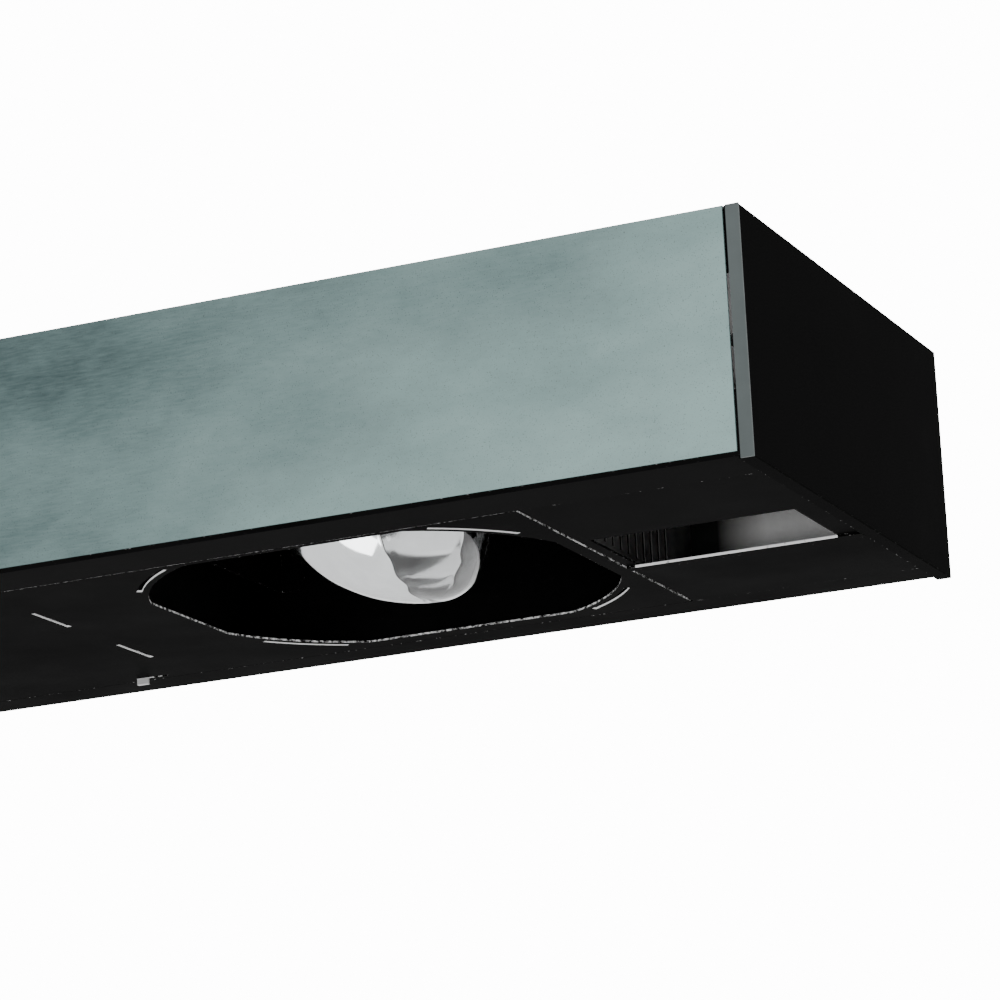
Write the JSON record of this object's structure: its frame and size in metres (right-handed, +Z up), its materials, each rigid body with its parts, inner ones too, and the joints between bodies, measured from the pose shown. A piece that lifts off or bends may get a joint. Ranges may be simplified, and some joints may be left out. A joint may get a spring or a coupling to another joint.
{
  "type": "heat lamp warmer",
  "caption": "Overhead food warmer: long sheet-metal housing with reflector heat lamps lying in bays above an open pan, rotary dimmer and service latch.",
  "frame": {"origin": "centre of the four mounting nuts, level with the top of the unit", "axes": "+X along the length to the unit's right end, +Y to the rear, +Z up; the silver front faces -Y"},
  "size_m": [0.914, 0.306, 0.151],
  "materials": {
    "black_sheet": "satin",
    "silver_sheet": "satin",
    "liner_black": "matte",
    "lamp_glass": "clear",
    "lamp_mirror": "polished",
    "filament_wire": "satin",
    "brass": "satin",
    "porcelain": "glazed",
    "zinc_steel": "zinc plated",
    "wire_sleeve": "braided glass fibre",
    "bushing_plastic": "matte",
    "insulator": "matte",
    "knob_plastic": "satin"
  },
  "bodies": {
    "warmer": {"bay_liner_left": "liner_black", "bay_liner_right": "liner_black", "control_wires": "wire_sleeve", "cover_screws": "zinc_steel", "dimmer_nut": "zinc_steel", "dimmer_switch": "insulator", "end_cap_screws": "zinc_steel", "front_hem": "black_sheet", "front_panel": "silver_sheet", "front_rail": "black_sheet", "ground_screw": "zinc_steel", "inlet_bushing": "zinc_steel", "inner_partition_left": "liner_black", "inner_partition_right": "liner_black", "lamp_base_left": "brass", "lamp_base_right": "brass", "lamp_glass_left": "lamp_glass", "lamp_glass_right": "lamp_glass", "lamp_mirror_left": "lamp_mirror", "lamp_mirror_right": "lamp_mirror", "lamp_mount_left": "filament_wire", "lamp_mount_right": "filament_wire", "lamp_pan": "black_sheet", "lamp_socket_left": "porcelain", "lamp_socket_right": "porcelain", "lamp_wires_left": "wire_sleeve", "lamp_wires_right": "wire_sleeve", "latch_guide": "zinc_steel", "latch_keeper": "zinc_steel", "left_bottom_plate": "black_sheet", "left_corner_trim": "silver_sheet", "left_end_cap": "black_sheet", "liner_rivets": "zinc_steel", "mount_nuts": "zinc_steel", "outer_partition_left": "liner_black", "outer_partition_right": "liner_black", "rear_panel": "black_sheet", "right_bottom_plate": "black_sheet", "right_corner_trim": "silver_sheet", "right_end_cap": "black_sheet", "socket_shell_left": "brass", "socket_shell_right": "brass", "socket_strap_left": "zinc_steel", "socket_strap_right": "zinc_steel", "terminal_block": "insulator", "terminal_screws": "zinc_steel", "top_panel": "black_sheet", "wire_bushings": "bushing_plastic", "wiring_cover": "black_sheet"},
    "dimmer_control": {"control_knob": "knob_plastic", "dimmer_shaft": "zinc_steel"},
    "latch": {"pan_latch": "zinc_steel"}
  },
  "joints": [
    {"name": "dimmer_turn", "type": "hinge", "parent": "warmer", "child": "dimmer_control", "pos_m": [-0.402, 0, -0.14], "axis": [0, 0, -1], "range_deg": [0, 300]},
    {"name": "latch_slide", "type": "slide", "parent": "warmer", "child": "latch", "axis": [1, 0, 0], "range_m": [0, 0.011]}
  ]
}
